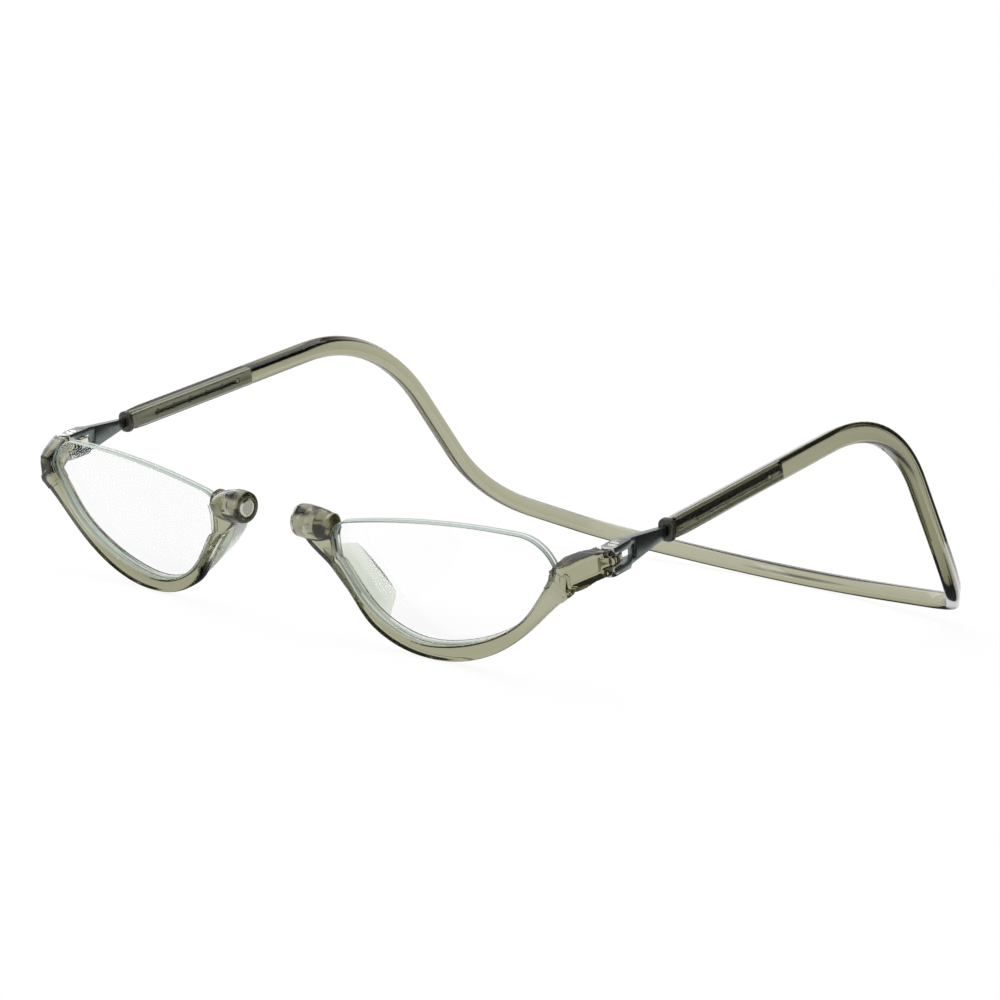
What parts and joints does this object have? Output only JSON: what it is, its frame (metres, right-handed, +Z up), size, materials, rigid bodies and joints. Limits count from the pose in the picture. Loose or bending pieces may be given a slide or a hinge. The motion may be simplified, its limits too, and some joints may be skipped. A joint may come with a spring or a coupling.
{
  "type": "magnetic bridge reading glasses",
  "caption": "Half-rim reading glasses that part at the nose: a magnet in each bridge pod, fronts hinged on sliding temples, and a springy band that runs behind the neck.",
  "frame": {"origin": "Middle of the footprint, on the surface that the glasses stand on: the rims' lower edges and the band at the nape rest on it.", "axes": "+X to the wearer's left, +Y from the lenses to the back of the head, +Z up"},
  "size_m": [0.1446, 0.212, 0.0512],
  "materials": {
    "smoky_plastic": "polished see-through olive-grey plastic, darker where it is thick",
    "dark_plastic": "dark moulded plastic seen through the sleeve",
    "gunmetal": "satin gunmetal, slightly worn at its edges",
    "bright_steel": "bright turned steel",
    "clear_lens": "clear lens with a ground, pale green edge",
    "clear_line": "clear drawn line",
    "clear_pad": "clear soft plastic with a faint green-grey cast",
    "magnet": "plated magnet, lightly scuffed on its face"
  },
  "bodies": {
    "left_band": {"left_headband": "smoky_plastic", "left_slide_guide": "dark_plastic", "left_sleeve_collar": "dark_plastic"},
    "left_arm": {"left_temple_arm": "gunmetal", "left_hinge_screw": "bright_steel", "left_detent_pin": "bright_steel"},
    "left_front": {"left_front_frame": "smoky_plastic", "left_lens": "clear_lens", "left_lens_line": "clear_line", "left_bridge_magnet": "magnet", "left_nose_pad": "clear_pad"},
    "right_band": {"right_headband": "smoky_plastic", "right_slide_guide": "dark_plastic", "right_sleeve_collar": "dark_plastic"},
    "right_arm": {"right_temple_arm": "gunmetal", "right_hinge_screw": "bright_steel", "right_detent_pin": "bright_steel"},
    "right_front": {"right_front_frame": "smoky_plastic", "right_lens": "clear_lens", "right_lens_line": "clear_line", "right_bridge_magnet": "magnet", "right_nose_pad": "clear_pad"}
  },
  "joints": [
    {"name": "band_flex", "type": "hinge", "parent": "right_band", "child": "left_band", "pos_m": [0, 0.10683, 0.0007], "axis": [0, -0.2822, 0.9593], "range_deg": [-3.46, 20], "stiffness_Nm_per_rad": 0.8},
    {"name": "left_arm_slide", "type": "slide", "parent": "left_band", "child": "left_arm", "axis": [0, -0.9593, -0.2822], "range_m": [0, 0.02625]},
    {"name": "left_front_hinge", "type": "hinge", "parent": "left_arm", "child": "left_front", "pos_m": [0.06999, -0.08814, 0.02517], "axis": [0.0027, -0.3154, 0.9489], "range_deg": [-85, 10]},
    {"name": "right_arm_slide", "type": "slide", "parent": "right_band", "child": "right_arm", "axis": [0, -0.9593, -0.2822], "range_m": [0, 0.02625]},
    {"name": "right_front_hinge", "type": "hinge", "parent": "right_arm", "child": "right_front", "pos_m": [-0.06999, -0.08814, 0.02517], "axis": [0.0027, 0.3154, -0.9489], "range_deg": [-85, 10]}
  ]
}
